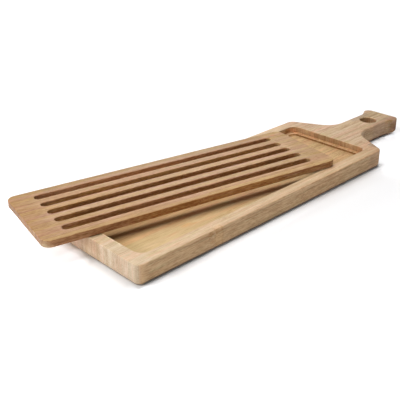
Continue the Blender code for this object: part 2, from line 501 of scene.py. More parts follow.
def bamboo(name, look):
    """Bamboo strips on edge: they run along X, stand along Z and follow each other
    along Y. Everything is worked out from the object's own coordinates, in mm."""
    material = bpy.data.materials.new(name)
    material.use_nodes = True
    n = Nodes(material.node_tree)
    shader = material.node_tree.nodes["Principled BSDF"]

    coordinates = n.add("ShaderNodeTexCoord")
    place = coordinates.outputs["Object"]
    if look["centre"]:
        turn = n.add("ShaderNodeVectorRotate", rotation_type="Z_AXIS", invert=True)
        n.put(turn.inputs["Vector"], n.vector("SUBTRACT", place, look["centre"]))
        turn.inputs["Angle"].default_value = look["yaw"]
        place = turn.outputs["Vector"]
    place = n.vector("MULTIPLY", place, (1000.0, 1000.0, 1000.0))
    parts = n.add("ShaderNodeSeparateXYZ")
    n.put(parts.inputs[0], place)
    x, y, z = parts.outputs

    # 1 on faces that look up, down or along X, 0 on the others
    facing = n.add("ShaderNodeSeparateXYZ")
    n.put(facing.inputs[0], coordinates.outputs["Normal"])
    top = n.span(facing.outputs[2], 0.55, 0.95)
    under = n.span(facing.outputs[2], -0.80, -0.98)
    ends = n.span(n.math("ABSOLUTE", facing.outputs[0]), 0.25, 0.95)
    long_side = n.math(
        "SUBTRACT", 1.0, n.math("MAXIMUM", n.math("MAXIMUM", top, under), ends), clamp=True
    )
    where = {"any": None, "top": top, "ends": ends, "sides": long_side}

    # which strip, and where across it
    row = n.math("ADD", n.math("DIVIDE", y, look["strip"]), look["shift"])
    strip = n.math("FLOOR", row)
    across = n.math("FRACT", row)
    dice = n.add("ShaderNodeTexWhiteNoise", noise_dimensions="1D")
    n.put(dice.inputs["W"], n.math("ADD", strip, look["seed"]))
    thrown = n.add("ShaderNodeSeparateColor")
    n.put(thrown.inputs[0], dice.outputs["Color"])
    r1, r2, r3 = thrown.outputs
    r4 = dice.outputs["Value"]

    # the culm's skin is on one side of a strip or on the other
    turned = n.math("GREATER_THAN", r2, 0.5)
    away = n.math("SUBTRACT", 1.0, turned)
    skin = n.math(
        "ADD",
        n.math("MULTIPLY", turned, across),
        n.math("MULTIPLY", away, n.math("SUBTRACT", 1.0, across)),
    )

    # nodes of the culm, one every 215 to 305 mm of each strip, few of them marked
    spacing = n.math("MULTIPLY_ADD", r4, 90.0, 215.0)
    lean = n.noise(
        n.combine(0.0, n.math("MULTIPLY", strip, 3.7), n.math("MULTIPLY", z, 0.12)), 1.0, 1.0
    )
    lean = n.math("MULTIPLY_ADD", lean, 5.0, -2.5)
    along = n.math("DIVIDE", n.math("ADD", x, lean), spacing)
    along = n.math("MULTIPLY_ADD", r3, 7.0, along)
    off_node = n.math("MULTIPLY", n.math("SUBTRACT", n.math("FRACT", along), 0.5), spacing)
    near_node = n.math("ABSOLUTE", off_node)
    marked = n.span(r2, 0.35, 0.95, 0.15, 1.0)
    swell = n.span(near_node, 0.0, 9.0, 1.0, 0.0)

    # fibres run straight but for a slow drift, and swirl a little round the nodes
    drift = n.noise(
        n.combine(n.math("MULTIPLY", x, 0.010), n.math("MULTIPLY", y, 0.05), n.math("MULTIPLY", z, 0.05)),
        1.0,
        1.0,
    )
    swirl = n.noise(
        n.combine(n.math("MULTIPLY", x, 0.16), n.math("MULTIPLY", y, 0.35), n.math("MULTIPLY", z, 0.2)),
        1.0,
        1.0,
    )
    curl = n.math("MULTIPLY", n.math("SUBTRACT", swirl, 0.5), n.math("MULTIPLY", swell, 5.0))
    for centre, radii, strength in look["swirls"]:
        curl = n.math(
            "ADD",
            curl,
            n.math(
                "MULTIPLY",
                n.math("SUBTRACT", swirl, 0.5),
                n.math("MULTIPLY", n.spot(place, centre, radii), strength),
            ),
        )
    side = n.math("ADD", n.math("MULTIPLY_ADD", drift, 3.0, -1.5), curl)
    fy = n.math("MULTIPLY_ADD", r1, 37.0, n.math("ADD", y, side))
    fz = n.math("MULTIPLY_ADD", r4, 53.0, n.math("ADD", z, side))

    def fibres(length, width, detail=2.0, rough=0.55):
        """0..1 streaks of about this length and width in mm."""
        v = n.combine(
            n.math("DIVIDE", x, length), n.math("DIVIDE", fy, width), n.math("DIVIDE", fz, width)
        )
        return n.noise(v, 1.0, detail, rough)

    broad = fibres(120.0, 2.6, 1.0)
    medium = fibres(45.0, 1.1, 2.0)
    fine = fibres(11.0, 0.45, 2.0, 0.6)
    dash = fibres(5.0, 1.0, 1.0)

    # across an end the cut shows each strip as upright lines
    lines = n.noise(
        n.combine(n.math("DIVIDE", x, 60.0), n.math("DIVIDE", y, 0.9), n.math("DIVIDE", z, 22.0)), 1.0, 1.0
    )
    bands = n.noise(
        n.combine(n.math("DIVIDE", x, 80.0), n.math("DIVIDE", y, 2.6), n.math("DIVIDE", z, 45.0)), 1.0, 1.0
    )
    upright = n.math(
        "MAXIMUM", ends, n.math("MULTIPLY", look["end_lines_on_top"], n.span(x, -160.0, -168.0))
    )
    medium = n.mix_value(upright, medium, lines)
    broad = n.mix_value(upright, broad, bands)

    # bundles: thin dark rods along the strip, thicker towards the skin
    rods = n.add("ShaderNodeTexVoronoi", voronoi_dimensions="3D", feature="F1")
    n.put(
        rods.inputs["Vector"],
        n.combine(n.math("DIVIDE", x, 26.0), n.math("DIVIDE", fy, 0.85), n.math("DIVIDE", fz, 0.85)),
    )
    rods.inputs["Scale"].default_value = 1.0
    thick = n.math("MULTIPLY_ADD", skin, 0.14, 0.20)
    rod = n.span(n.math("DIVIDE", rods.outputs["Distance"], thick), 0.6, 1.3, 1.0, 0.0)

    slow = n.noise(
        n.combine(n.math("DIVIDE", x, 90.0), n.math("MULTIPLY", strip, 1.37), n.math("DIVIDE", z, 40.0)),
        1.0,
        2.0,
    )
    wide = n.noise(
        n.combine(n.math("DIVIDE", x, 130.0), n.math("DIVIDE", y, 45.0), n.math("DIVIDE", z, 45.0)),
        1.0,
        2.0,
    )
    cloud = n.noise(
        n.combine(n.math("DIVIDE", x, 22.0), n.math("DIVIDE", fy, 5.0), n.math("DIVIDE", fz, 5.0)),
        1.0,
        2.0,
    )

    # lightness: 0 dark, 1 light
    tone = n.math("MULTIPLY", n.math("SUBTRACT", r1, 0.5), look["strip_tone"])
    for value, amount in (
        (broad, look["broad"]),
        (medium, look["medium"]),
        (fine, look["fine"]),
        (dash, look["dash"]),
        (slow, look["slow"]),
        (wide, look["wide"]),
        (cloud, look["cloud"]),
    ):
        tone = n.math("MULTIPLY_ADD", n.math("SUBTRACT", value, 0.5), amount, tone)
    tone = n.math("MULTIPLY_ADD", n.math("SUBTRACT", 0.5, skin), look["skin"], tone)
    stronger = n.math("MULTIPLY_ADD", long_side, look["side_contrast"] - 1.0, 1.0)
    stronger = n.math("MULTIPLY_ADD", ends, look["end_contrast"] - 1.0, stronger)
    for side_of, low, high, edge, factor in look["contrast"]:
        mask = n.block(place, low, high, edge)
        if where[side_of]:
            mask = n.math("MULTIPLY", mask, where[side_of])
        stronger = n.math("MULTIPLY_ADD", mask, factor - 1.0, stronger)
    tone = n.math("MULTIPLY_ADD", tone, stronger, 0.5)
    ramp = n.add("ShaderNodeValToRGB")
    n.put(ramp.inputs[0], tone)
    stops = look["stops"]
    ramp.color_ramp.elements[0].position = stops[0][0]
    ramp.color_ramp.elements[0].color = rgb(*stops[0][1])
    ramp.color_ramp.elements[1].position = stops[-1][0]
    ramp.color_ramp.elements[1].color = rgb(*stops[-1][1])
    for position, shade in stops[1:-1]:
        ramp.color_ramp.elements.new(position).color = rgb(*shade)
    colour = ramp.outputs["Color"]

    def tinted(mask, tint):
        """The colour so far, multiplied by tint where mask is 1."""
        return n.mix(mask, colour, n.mix(1.0, colour, rgb(*tint), "MULTIPLY"))

    # some strips and streaks lean to pink, some to yellow green
    streak = n.noise(
        n.combine(n.math("DIVIDE", x, 70.0), n.math("DIVIDE", fy, 1.7), n.math("DIVIDE", fz, 1.7)), 1.0, 1.0
    )
    streak = n.mix_value(upright, streak, n.noise(
        n.combine(n.math("DIVIDE", x, 80.0), n.math("DIVIDE", y, 1.9), n.math("DIVIDE", z, 45.0)), 1.0, 1.0
    ))
    hue = n.math("MULTIPLY_ADD", n.math("SUBTRACT", r3, 0.5), 0.7, 0.5)
    for value, amount in ((slow, 0.5), (cloud, 0.8), (streak, 1.3)):
        hue = n.math("MULTIPLY_ADD", n.math("SUBTRACT", value, 0.5), amount, hue)
    colour = tinted(n.span(hue, 0.50, 0.78, 0.0, look["hue"]), look["pink"])
    calm = n.math("MINIMUM", stronger, 1.0)
    for low, high, edge, factor in look["less_green"]:
        calm = n.math("MULTIPLY", calm, n.math("MULTIPLY_ADD", n.block(place, low, high, edge), factor - 1.0, 1.0))
    greener = n.math("MULTIPLY", n.span(hue, 0.50, 0.22, 0.0, look["hue"]), calm)
    greener = n.math("MULTIPLY", greener, n.math("MULTIPLY_ADD", upright, -0.8, 1.0))
    colour = tinted(greener, look["green"])

    # places that differ from the rest
    for centre, radii, tint in look["patches"]:
        colour = tinted(n.spot(place, centre, radii), tint)
    for side_of, low, high, edge, tint in look["faces"]:
        mask = n.block(place, low, high, edge)
        if where[side_of]:
            mask = n.math("MULTIPLY", mask, where[side_of])
        colour = tinted(mask, tint)
    for low, high, edge, dark, light in look["banded"]:
        stripe = n.noise(
            n.combine(n.math("DIVIDE", x, 40.0), n.math("DIVIDE", y, 2.6), n.math("DIVIDE", z, 12.0)), 1.0, 1.5
        )
        mask = n.math("MULTIPLY", n.block(place, low, high, edge), n.math("SUBTRACT", 1.0, top))
        colour = tinted(n.math("MULTIPLY", mask, n.span(stripe, 0.35, 0.65, 1.0, 0.0)), dark)
        colour = tinted(n.math("MULTIPLY", mask, n.span(stripe, 0.35, 0.65, 0.0, 1.0)), light)

    # the router's cutter leaves faint slanted marks and darker spots on the pocket's floor
    for low, high, edge, amount, tint in look["milled"]:
        mask = n.block(place, low, high, edge)
        turned_x = n.math("MULTIPLY_ADD", y, 0.8, x)
        marks = n.noise(
            n.combine(n.math("DIVIDE", turned_x, 3.2), n.math("DIVIDE", y, 2.4), 0.0), 1.0, 2.0, 0.6
        )
        marks = n.math("MULTIPLY", n.span(marks, 0.50, 0.68), mask)
        colour = tinted(n.math("MULTIPLY", marks, amount), tint)

    # bundles, a node's dark line and the bands beside it, glue lines
    colour = tinted(n.math("MULTIPLY", rod, look["rods"]), (0.62, 0.50, 0.38))
    line = n.math("MULTIPLY", n.span(near_node, 0.3, 1.6, 1.0, 0.0), marked)
    beyond = n.span(n.math("ABSOLUTE", n.math("SUBTRACT", off_node, 3.2)), 0.5, 3.0, 1.0, 0.0)
    before = n.span(n.math("ABSOLUTE", n.math("ADD", off_node, 3.0)), 0.5, 5.5, 1.0, 0.0)
    colour = tinted(n.math("MULTIPLY", n.math("MULTIPLY", beyond, marked), look["node"] * 0.7), (1.10, 1.07, 1.0))
    colour = tinted(n.math("MULTIPLY", n.math("MULTIPLY", before, marked), look["node"]), (0.90, 0.80, 0.68))
    colour = tinted(n.math("MULTIPLY", line, look["node"]), (0.70, 0.58, 0.46))
    for low, high in look["node_bands"]:
        wavy = n.math("MULTIPLY_ADD", swirl, 4.0, n.math("SUBTRACT", x, 2.0))
        edge_low = n.span(n.math("ABSOLUTE", n.math("SUBTRACT", wavy, low[0])), 0.2, 2.4, 1.0, 0.0)
        edge_high = n.span(n.math("ABSOLUTE", n.math("SUBTRACT", wavy, high[0])), 0.2, 1.8, 1.0, 0.0)
        wider = n.block(place, (low[0] - 3, low[1], low[2]), (high[0] + 3, high[1], high[2]), 1.5)
        colour = tinted(n.math("MULTIPLY", n.block(place, low, high, 2.0), 0.8), (1.08, 1.05, 0.98))
        rims = n.math("MULTIPLY", n.math("MAXIMUM", edge_low, edge_high), wider)
        rims = n.math("MULTIPLY", rims, n.span(streak, 0.3, 0.6, 0.15, 0.6))
        colour = tinted(rims, (0.76, 0.66, 0.55))
    gap = n.math("MINIMUM", across, n.math("SUBTRACT", 1.0, across))
    glue = n.span(n.math("MULTIPLY", gap, look["strip"]), 0.04, 0.20, 1.0, 0.0)
    colour = tinted(n.math("MULTIPLY", glue, look["glue"]), (0.66, 0.52, 0.38))
    # painted highlight: rounded edges are made a little lighter; where they face +Y between x 50 and 110 they are
    # darker instead
    edge = n.math("MULTIPLY", n.span(facing.outputs[2], 0.15, 0.55), n.span(facing.outputs[2], 0.98, 0.80))
    far_edge_darker = n.math("MULTIPLY", n.span(x, 50.0, 110.0), n.span(facing.outputs[1], 0.05, 0.5))
    colour = tinted(
        n.math("MULTIPLY", n.math("MULTIPLY", edge, n.math("SUBTRACT", 1.0, far_edge_darker)), look["painted_edge_highlight"]),
        (1.3, 1.3, 1.3),
    )
    colour = tinted(n.math("MULTIPLY", edge, far_edge_darker), (0.60, 0.58, 0.60))

    # painted shade: the lower edge is darkened, standing in for the contact shadow at the foot
    if look["painted_foot_shade"]:
        foot = n.math("MULTIPLY", n.span(z, 1.3, 3.9, 1.0, 0.0), n.math("SUBTRACT", 1.0, under))
        foot = n.math("MULTIPLY", foot, n.math("MULTIPLY_ADD", ends, -0.86, 1.0))
        foot = n.math("MULTIPLY", foot, n.span(x, -175.0, -163.0, 0.14, 1.0))
        foot = n.math("MULTIPLY", foot, n.span(x, -120.0, 60.0, 0.91, 1.0))
        colour = tinted(n.math("MULTIPLY", foot, look["painted_foot_shade"]), (0.12, 0.095, 0.085))
    n.put(shader.inputs["Base Color"], colour)

    gloss = n.math("MULTIPLY_ADD", n.math("SUBTRACT", medium, 0.5), 0.25, look["rough"])
    gloss = n.math("MULTIPLY_ADD", rod, 0.06, gloss)
    n.put(shader.inputs["Roughness"], gloss)
    shader.inputs["Specular IOR Level"].default_value = look["specular"]

    height = n.math("MULTIPLY", fine, 0.45)
    height = n.math("MULTIPLY_ADD", medium, 0.35, height)
    height = n.math("MULTIPLY_ADD", rod, -0.35, height)
    height = n.math("MULTIPLY_ADD", glue, -0.5, height)
    height = n.math("MULTIPLY_ADD", line, 0.5, height)
    bump = n.add("ShaderNodeBump")
    bump.inputs["Strength"].default_value = 0.6
    bump.inputs["Distance"].default_value = 0.05 * MM
    n.put(bump.inputs["Height"], height)
    n.put(shader.inputs["Normal"], bump.outputs["Normal"])
    return material


BOARD_LOOK = {
    "centre": None,
    "yaw": 0.0,
    "strip": 5.6,
    "shift": 0.35,
    "seed": 11.0,
    "strip_tone": 0.22,
    "broad": 0.80,
    "medium": 0.90,
    "fine": 0.85,
    "dash": 0.85,
    "slow": 0.30,
    "wide": 0.15,
    "cloud": 0.55,
    "skin": 0.14,
    "side_contrast": 1.5,
    "end_contrast": 1.3,
    "end_lines_on_top": 1.0,
    "stops": (
        (0.0, (0.375, 0.232, 0.121)),
        (0.35, (0.480, 0.328, 0.188)),
        (0.65, (0.540, 0.389, 0.236)),
        (1.0, (0.600, 0.459, 0.300)),
    ),
    "hue": 1.0,
    "pink": (1.05, 0.94, 0.92),
    "green": (0.97, 1.02, 0.83),
    "less_green": (
        ((-160.0, -50.0, 5.0), (162.0, 50.0, 12.0), 6.0, 0.35),
        ((172.0, -70.0, 18.0), (300.0, 70.0, 21.0), 6.0, 0.45),
    ),
    # which faces, lowest and highest corner, softness, contrast of the streaks
    "contrast": (
        ("top", (-160.0, -50.0, 5.0), (35.0, 50.0, 12.0), (85.0, 6.0, 3.0), 0.50),
        ("top", (130.0, -50.0, 5.0), (162.0, 50.0, 12.0), (60.0, 6.0, 3.0), 1.75),
        ("top", (172.0, -70.0, 18.0), (300.0, 70.0, 21.0), 6.0, 1.45),
        ("any", (-176.0, -66.0, -1.0), (-169.0, -60.0, 21.0), 3.0, 0.50),
        ("top", (-175.0, -70.0, 18.0), (172.0, 70.0, 21.0), 4.0, 0.85),
    ),
    # centre, radii, tint
    "patches": (
        ((-87.0, -28.0, 10.5), (10.0, 4.5, 5.0), (1.02, 0.86, 0.76)),
        ((-80.0, -30.5, 10.5), (6.0, 1.6, 5.0), (0.92, 0.80, 0.70)),
        ((139.0, 2.0, 10.5), (6.0, 3.0, 5.0), (1.02, 0.86, 0.70)),
        ((133.0, -13.0, 10.5), (7.0, 2.4, 5.0), (0.98, 0.86, 0.70)),
        ((184.0, 18.2, 20.0), (17.0, 1.6, 6.0), (0.80, 0.72, 0.64)),
        ((160.0, 50.0, 15.5), (13.0, 9.0, 7.0), (1.14, 1.10, 1.06)),
        ((-92.0, -65.5, 17.0), (5.0, 3.0, 3.0), (0.90, 0.80, 0.68)),
        ((-90.0, -65.5, 9.0), (4.5, 3.0, 3.0), (0.92, 0.84, 0.74)),
        ((274.0, -21.0, 9.0), (15.0, 9.0, 16.0), (0.66, 0.55, 0.50)),
        ((183.0, -62.0, 19.0), (10.0, 6.0, 4.0), (0.92, 0.76, 0.62)),
        ((200.0, -24.0, 8.0), (16.0, 9.0, 18.0), (0.86, 0.76, 0.70)),
        ((-100.0, 0.0, 10.5), (16.0, 7.0, 4.0), (0.92, 0.84, 0.86)),
        # painted shade: the shadow of the grid's near edge on the pocket floor, pinker in its band and penumbra;
        # this and the next five lines
        ((-53.0, -12.0, 10.5), (30.0, 8.0, 4.0), (0.98, 0.90, 0.95)),
        ((0.0, -24.5, 10.5), (30.0, 10.0, 4.0), (0.97, 0.79, 0.83)),
        ((28.0, -31.0, 10.5), (22.0, 9.0, 4.0), (1.0, 0.87, 0.85)),
        ((-88.0, -18.5, 10.5), (24.0, 8.0, 4.0), (0.94, 0.87, 0.81)),
        ((-56.0, -25.5, 10.5), (28.0, 8.0, 4.0), (0.95, 0.87, 0.80)),
        ((-26.0, -32.0, 10.5), (26.0, 7.0, 4.0), (0.97, 0.91, 0.87)),
    ),
    # which faces, lowest and highest corner, softness, tint
    "faces": (
        ("any", (-160.0, -50.0, 5.0), (161.5, 50.0, 12.0), 1.5, (1.10, 1.07, 0.92)),
        # painted shade: the pocket floor darker towards the wall at the handle end
        ("top", (135.0, -50.0, 5.0), (162.0, 50.0, 12.0), (50.0, 8.0, 3.0), (0.82, 0.75, 0.68)),
        # painted shade: the pocket floor darker along the wall at the plain end
        ("top", (-160.0, -50.0, 5.0), (-152.0, 50.0, 12.0), (18.0, 8.0, 3.0), (0.80, 0.80, 0.74)),
        ("top", (-150.0, -50.0, 5.0), (20.0, -12.0, 12.0), (30.0, 14.0, 3.0), (1.04, 1.07, 1.09)),
        # painted shade on the pocket floor under and beside the grid near the plain end, this and the next line
        ("top", (-160.0, 6.0, 9.0), (-120.0, 52.0, 12.0), (40.0, 8.0, 3.0), (0.82, 0.76, 0.75)),
        ("top", (-160.0, -10.0, 9.0), (-130.0, -5.0, 12.0), (30.0, 6.0, 3.0), (0.84, 0.76, 0.74)),
        ("ends", (162.0, -53.0, 13.6), (168.5, -28.0, 19.2), 14.0, (1.08, 1.10, 1.12)),
        ("sides", (-180.0, -70.0, -1.0), (180.0, -60.0, 21.0), 4.0, (0.97, 1.0, 0.92)),
        # painted light: the near side lighter from x 35 to 95
        ("sides", (35.0, -70.0, -1.0), (95.0, -60.0, 21.0), 18.0, (1.08, 1.06, 1.06)),
        ("sides", (158.0, -70.0, -1.0), (190.0, -40.0, 21.0), 10.0, (0.89, 0.83, 0.85)),
        # painted shade: the handle's near side darker, this and the next line
        ("any", (214.0, -40.0, -1.0), (266.0, -12.0, 18.8), 3.0, (0.89, 0.89, 0.83)),
        ("any", (235.0, -40.0, -1.0), (266.0, -12.0, 18.8), 5.0, (0.90, 0.89, 0.95)),
        # painted highlight on the ledge's lip, and under it, on the next line, a painted shadow line
        ("any", (161.8, -50.0, 12.4), (166.5, 50.0, 13.3), 0.6, (1.22, 1.09, 0.94)),
        ("any", (160.4, -50.0, 10.9), (161.4, 50.0, 12.6), 0.4, (0.62, 0.50, 0.42)),
        ("any", (236.0, -10.5, 0.5), (257.0, 10.5, 19.0), 0.6, (0.88, 0.76, 0.68)),
        # painted light: the top lighter towards the plain end and darker towards the handle's end, as the light
        # falls off; this and the next two lines
        ("top", (-200.0, -70.0, 18.0), (130.0, 70.0, 21.0), 40.0, (1.08, 1.11, 1.13)),
        ("top", (185.0, -70.0, 18.0), (300.0, 70.0, 21.0), 40.0, (0.94, 0.91, 0.97)),
        ("top", (262.0, -40.0, 18.0), (300.0, 40.0, 21.0), 30.0, (0.88, 0.90, 0.87)),
        ("top", (232.0, 12.0, 18.0), (262.0, 30.0, 21.0), 5.0, (0.84, 0.84, 0.90)),
        ("top", (55.0, -70.0, 18.0), (95.0, -50.0, 21.0), 12.0, (1.08, 1.09, 1.09)),
        ("top", (128.0, -70.0, 18.0), (176.0, -50.0, 21.0), 12.0, (0.93, 0.92, 0.88)),
        ("top", (-176.0, -66.0, 18.0), (-161.0, -18.0, 21.0), 6.0, (1.0, 1.04, 1.11)),
        ("ends", (-180.0, -70.0, -1.0), (-170.0, 70.0, 21.0), 2.0, (0.84, 0.91, 1.06)),
        ("ends", (-180.0, -70.0, -1.0), (-170.0, -20.0, 21.0), 6.0, (1.03, 1.05, 1.08)),
        ("ends", (-180.0, -6.0, -1.0), (-170.0, 70.0, 21.0), 6.0, (0.98, 0.92, 0.90)),
        # painted highlight along the inner lip of the rim at the plain end
        ("any", (-162.6, -26.0, 18.8), (-160.4, 46.0, 20.2), 0.6, (1.34, 1.38, 1.45)),
        ("ends", (-180.0, -54.0, -1.0), (-170.0, -43.0, 21.0), (2.0, 3.0, 4.0), (0.92, 0.95, 0.93)),
        # painted shade: the plain end darker high up under the grid's overhang and lighter low down; this and the
        # next two lines
        ("ends", (-180.0, -8.0, 11.0), (-170.0, 40.0, 21.0), (2.0, 5.0, 4.0), (0.95, 0.89, 0.84)),
        ("ends", (-180.0, 6.0, 12.0), (-170.0, 40.0, 21.0), (2.0, 5.0, 3.0), (0.93, 0.91, 0.90)),
        ("ends", (-180.0, 6.0, 3.0), (-170.0, 40.0, 10.0), (2.0, 5.0, 3.0), (1.06, 1.05, 1.02)),
        # painted light: the rim at the plain end lighter around its middle
        ("top", (-176.0, -16.0, 18.0), (-160.5, 12.0, 21.0), 14.0, (1.04, 1.06, 1.11)),
        # painted shadow of the grid on the far part of the plain end
        ("any", (-176.0, 14.0, -1.0), (-170.0, 60.0, 21.0), 9.0, (0.78, 0.77, 0.80)),
        ("any", (168.0, -66.0, -1.0), (182.0, -35.0, 21.0), 1.5, (1.0, 0.98, 0.96)),
        ("any", (176.8, -60.0, 17.5), (183.0, -46.0, 21.0), 0.8, (0.74, 0.76, 0.80)),
        ("top", (-150.0, -8.0, 9.0), (60.0, 52.0, 12.0), (50.0, 16.0, 3.0), (1.02, 0.95, 0.90)),
        ("any", (264.0, -40.0, -1.0), (285.0, -12.0, 19.2), 3.0, (0.80, 0.72, 0.74)),
        ("any", (269.0, -26.0, 9.0), (285.0, -8.0, 16.5), (2.0, 1.6, 3.0), (0.80, 0.75, 0.75)),
        # painted highlight along the near top edge of the handle's tip
        ("any", (258.0, -24.0, 17.4), (267.0, -17.0, 20.2), 2.0, (1.05, 1.02, 0.84)),
        ("top", (146.0, 32.0, 9.0), (161.0, 50.0, 12.0), (6.0, 8.0, 3.0), (1.18, 1.22, 1.25)),
        ("any", (142.0, 48.5, 13.4), (162.0, 54.0, 18.8), (8.0, 1.5, 0.5), (1.32, 1.30, 1.40)),
        ("top", (148.0, -44.0, 9.0), (161.0, -36.0, 12.0), (5.0, 6.0, 3.0), (1.10, 1.14, 1.17)),
    ),
    # the milled end grain at the recess's handle end
    "banded": (
        ((150.0, -53.0, 12.0), (168.5, 53.0, 19.2), 0.8, (0.84, 0.70, 0.59), (0.96, 0.87, 0.75)),
    ),
    "milled": (
        ((132.0, -48.0, 9.0), (161.0, 48.0, 12.0), (55.0, 10.0, 3.0), 0.26, (0.80, 0.70, 0.58)),
    ),
    "swirls": (((-90.0, -65.5, 12.0), (9.0, 4.0, 12.0), 9.0),),
    "node_bands": (((-86.0, -68.0, -2.0), (-77.5, -61.0, 22.0)),),
    "rods": 0.5,
    "node": 0.30,
    "glue": 0.15,
    # painted contact shade along the lower edge, its strength
    "painted_foot_shade": 1.0,
    # painted highlight on rounded edges, its strength
    "painted_edge_highlight": 0.35,
    "rough": 0.55,
    "specular": 0.2,
}

GRID_LOOK = dict(
    BOARD_LOOK,
    centre=(GRID_X, GRID_Y, GRID_Z),
    yaw=math.radians(GRID_YAW_DEG),
    seed=67.0,
    shift=0.1,
    broad=0.60,
    medium=0.95,
    fine=1.15,
    dash=1.25,
    strip_tone=0.18,
    side_contrast=1.9,
    pink=(1.03, 0.95, 1.02),
    green=(0.99, 1.0, 0.80),
    contrast=(),
    less_green=(),
    end_lines_on_top=0.0,
    stops=(
        (0.0, (0.262, 0.136, 0.057)),
        (0.35, (0.345, 0.192, 0.086)),
        (0.65, (0.392, 0.226, 0.105)),
        (1.0, (0.446, 0.282, 0.140)),
    ),
    patches=(
        ((141.5, -14.5, 7.0), (7.0, 2.4, 5.0), (0.74, 0.66, 0.58)),
        ((148.0, 42.0, 7.0), (5.0, 2.4, 5.0), (1.08, 0.86, 0.70)),
        ((113.0, 46.0, 7.0), (14.0, 3.5, 5.0), (1.04, 0.90, 0.86)),
        ((-134.0, -34.8, 2.4), (22.0, 6.6, 4.6), (1.0, 1.0, 0.78)),
        ((-134.0, -17.4, 2.4), (22.0, 6.6, 4.6), (1.05, 1.0, 0.86)),
        ((-134.0, 0.0, 2.4), (22.0, 6.6, 4.6), (1.10, 1.04, 0.86)),
    ),
    faces=(
        ("sides", (-170.0, -60.0, -1.0), (170.0, 60.0, 8.0), 1.0, (1.04, 0.87, 0.80)),
        ("sides", (-170.0, -60.0, -1.0), (-95.0, -44.0, 8.0), (45.0, 6.0, 2.0), (0.90, 0.93, 1.28)),
        ("any", (-170.0, -60.0, -1.0), (-152.0, -44.0, 2.0), 2.5, (1.15, 1.32, 1.45)),
        ("ends", (-170.0, -60.0, -1.0), (-150.0, 60.0, 8.0), 2.0, (0.72, 0.74, 0.86)),
        ("sides", (100.0, -60.0, -1.0), (170.0, -44.0, 8.0), (25.0, 6.0, 2.0), (1.0, 1.09, 1.30)),
        # painted shade inside the slots at the grid's plain end, this and the next line
        ("any", (-143.0, 12.0, 0.3), (-120.0, 41.0, 6.4), (50.0, 2.0, 0.5), (0.76, 0.74, 0.76)),
        ("any", (-143.0, -41.0, 0.3), (-136.0, 41.0, 6.6), (14.0, 2.0, 0.4), (0.86, 0.84, 0.82)),
        ("any", (-143.0, -41.0, 0.3), (143.0, 41.0, 6.2), 0.4, (1.12, 1.28, 1.32)),
        ("top", (0.0, -60.0, 6.0), (170.0, 60.0, 8.0), 110.0, (1.04, 1.09, 1.17)),
        ("top", (-100.0, -60.0, 6.0), (170.0, -40.0, 8.0), 5.0, (1.11, 1.11, 1.17)),
        ("top", (-140.0, -40.0, 6.0), (135.0, 40.0, 8.0), 5.0, (1.06, 1.07, 1.13)),
        ("top", (-145.0, -24.0, 6.0), (140.0, 17.0, 8.0), 5.0, (1.05, 1.08, 1.14)),
        ("top", (-125.0, 40.0, 6.0), (130.0, 60.0, 8.0), 5.0, (0.91, 0.95, 1.0)),
        ("top", (139.0, -60.0, 6.0), (170.0, 60.0, 8.0), 5.0, (1.05, 1.10, 1.14)),
        ("top", (30.0, 3.0, 6.0), (140.0, 14.5, 8.0), (30.0, 3.0, 1.0), (1.13, 1.16, 1.24)),
        ("top", (-118.0, 3.0, 6.0), (-70.0, 14.5, 8.0), (22.0, 3.0, 1.0), (1.05, 1.06, 1.14)),
        ("top", (-112.0, -14.5, 6.0), (140.0, -3.0, 8.0), (30.0, 3.0, 1.0), (1.04, 1.06, 1.15)),
        ("top", (60.0, -14.5, 6.0), (120.0, -3.0, 8.0), (20.0, 3.0, 1.0), (1.05, 1.05, 1.07)),
        ("top", (-140.0, 21.0, 6.0), (-70.0, 31.5, 8.0), (25.0, 3.0, 1.0), (1.0, 1.08, 1.08)),
        ("top", (20.0, 21.0, 6.0), (140.0, 31.5, 8.0), (25.0, 3.0, 1.0), (1.0, 1.05, 1.08)),
        ("top", (-30.0, 38.8, 6.0), (40.0, 60.0, 8.0), (25.0, 3.0, 1.0), (0.96, 0.94, 0.90)),
        ("top", (-150.0, 38.8, 6.0), (-122.0, 60.0, 8.0), (14.0, 3.0, 1.0), (0.93, 0.97, 1.0)),
        ("top", (-145.0, -60.0, 6.0), (-95.0, -3.0, 8.0), (20.0, 4.0, 1.0), (1.02, 1.05, 1.17)),
        ("top", (-55.0, -60.0, 6.0), (-5.0, -21.0, 8.0), (20.0, 4.0, 1.0), (0.95, 0.92, 0.96)),
        ("top", (50.0, -31.0, 6.0), (135.0, -21.0, 8.0), (25.0, 3.0, 1.0), (1.0, 1.03, 1.15)),
    ),
    banded=(),
    milled=(),
    swirls=(((141.0, -16.0, 7.0), (12.0, 6.0, 8.0), 8.0),),
    node_bands=(),
    painted_foot_shade=0.0,
    specular=0.1,
    rough=0.6,
)


# =============================================================================
# stage
# =============================================================================
def make_camera():
    data = bpy.data.cameras.new("camera")
    data.sensor_width = 36.0
    data.lens = 62.9546
    data.clip_start = 0.01
    data.clip_end = 60.0
    camera = bpy.data.objects.new("camera", data)
    bpy.context.scene.collection.objects.link(camera)
    right = Vector((0.721655, -0.692192, -0.009141))
    up = Vector((0.315281, 0.316888, 0.894528))
    back = right.cross(up)
    turned = Matrix((right, up, back)).transposed().to_4x4()
    camera.matrix_world = Matrix.Translation((-0.469900, -0.449449, 0.320590)) @ turned
    bpy.context.scene.camera = camera


